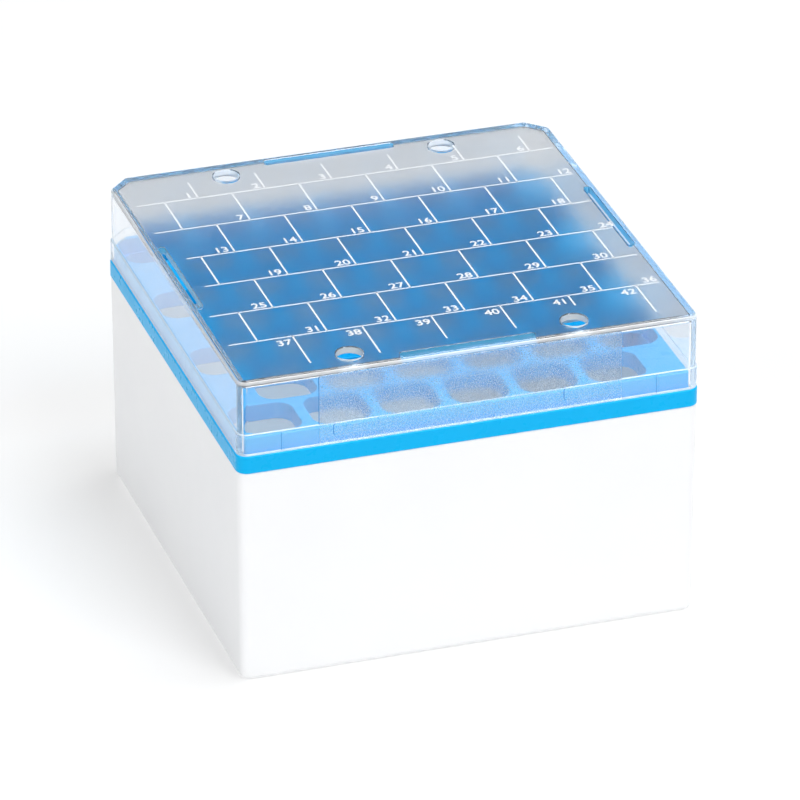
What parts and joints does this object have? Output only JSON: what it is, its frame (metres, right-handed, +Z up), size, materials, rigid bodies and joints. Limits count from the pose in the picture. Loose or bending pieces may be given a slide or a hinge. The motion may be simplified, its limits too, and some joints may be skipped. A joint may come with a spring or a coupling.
{
  "type": "cryogenic storage box",
  "caption": "Square freezer box for cryogenic vials: tall white base, lift-out blue rack of staggered cells, clear keyed lift-off lid.",
  "frame": {"origin": "centre of the underside, on the surface it stands on", "axes": "+X to the right, +Y to the keyed back edge, +Z up"},
  "size_m": [0.132, 0.1321, 0.0922],
  "materials": {
    "white_plastic": "fine satin moulding",
    "blue_plastic": "smooth moulding",
    "clear_plastic": "clear, with a frosted top and writing panel and a white printed grid"
  },
  "bodies": {
    "base": {"base": "white_plastic"},
    "rack": {"rack_rim": "blue_plastic", "rack_bars": "blue_plastic", "rack_webs": "blue_plastic"},
    "lid": {"lid": "clear_plastic"}
  },
  "joints": [
    {"name": "rack_lift", "type": "slide", "parent": "base", "child": "rack", "axis": [0, 0, 1], "range_m": [0, 0.04]},
    {"name": "lid_lift", "type": "slide", "parent": "rack", "child": "lid", "axis": [0, 0, 1], "range_m": [0, 0.05]}
  ]
}
